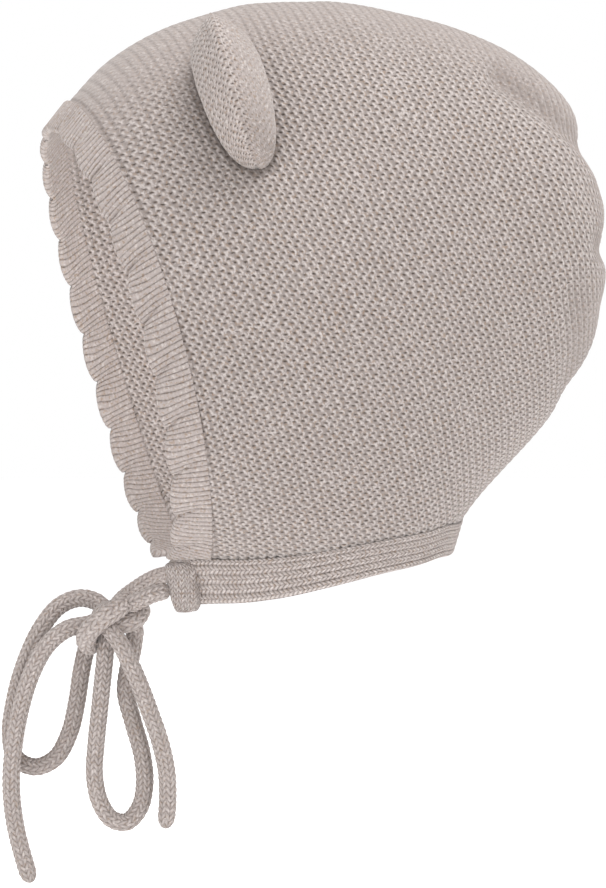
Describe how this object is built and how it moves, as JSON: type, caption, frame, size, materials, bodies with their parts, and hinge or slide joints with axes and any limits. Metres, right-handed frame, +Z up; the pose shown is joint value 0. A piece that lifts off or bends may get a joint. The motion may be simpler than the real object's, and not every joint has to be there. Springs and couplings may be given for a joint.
{
  "type": "baby bonnet",
  "caption": "Hollow knitted baby bonnet with a scalloped ribbed edging round the face, a neck band, two padded ears and tube ties tied in a bow.",
  "frame": {"origin": "the seat inside the crown, on the centre plane, where the bonnet rests on the top of a head", "axes": "+Z up, -Y out of the face opening, +X towards the wearer's left"},
  "size_m": [0.1388, 0.1727, 0.2515],
  "materials": {
    "garter_knit": "heathered oatmeal garter-stitch wool knit, matt and slightly fuzzy",
    "rib_edging": "fine rib knit of the same heathered yarn, matt",
    "band_knit": "sideways stocking-stitch knit of the same yarn, matt",
    "ear_knit": "padded garter-stitch knit of the same yarn, matt and slightly fuzzy",
    "tie_cord": "knitted tube cord of the same yarn, matt"
  },
  "bodies": {
    "root": {"knit_body": "garter_knit", "scalloped_edging": "rib_edging", "neck_band": "band_knit", "band_end_left": "band_knit", "band_end_right": "band_knit", "ear_left": "ear_knit", "ear_right": "ear_knit", "tie_left_lead": "tie_cord", "tie_left_loop": "tie_cord", "tie_left_end": "tie_cord", "tie_right_lead": "tie_cord", "tie_right_loop": "tie_cord", "tie_right_end": "tie_cord", "bow_knot": "tie_cord"}
  },
  "joints": []
}
